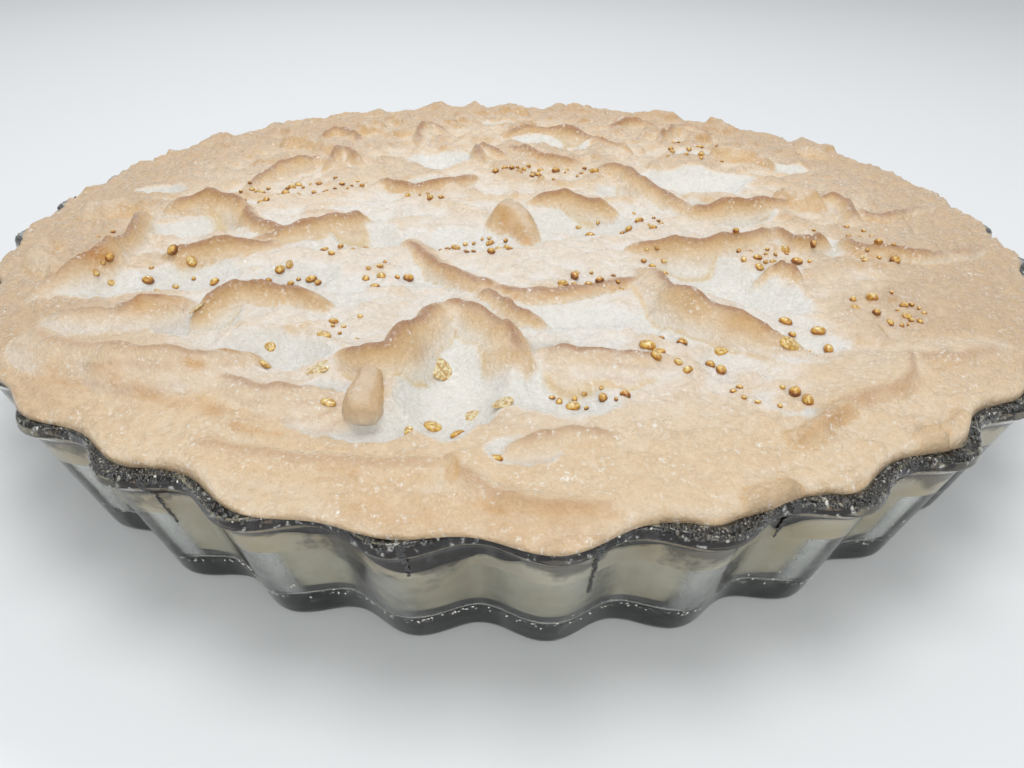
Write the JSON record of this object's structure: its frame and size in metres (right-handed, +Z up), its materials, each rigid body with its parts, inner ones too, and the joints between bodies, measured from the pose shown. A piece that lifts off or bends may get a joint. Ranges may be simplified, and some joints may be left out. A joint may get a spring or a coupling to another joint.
{
  "type": "carob meringue pie",
  "caption": "Round carob pie in a fluted clear glass flan dish, with a pale pastry case, dark carob filling and a swirled, lightly browned meringue topping beaded with amber syrup.",
  "frame": {"origin": "centre of the dish's flat foot, on the table", "axes": "+Z up through the pie, -Y towards the front of the picture, +X to its right"},
  "size_m": [0.2848, 0.2855, 0.0479],
  "materials": {
    "glass_dish": "clear pressed glass, smooth, with a thick base",
    "pastry": "pale shortcrust pastry, matt and crumbly",
    "carob_filling": "smooth, near-black brown set filling, moist",
    "baked_meringue": "baked meringue, tan on the ridges and white in the hollows, with amber syrup beads"
  },
  "bodies": {
    "root": {"dish": "glass_dish", "crust": "pastry", "filling": "carob_filling", "meringue": "baked_meringue"}
  },
  "joints": []
}
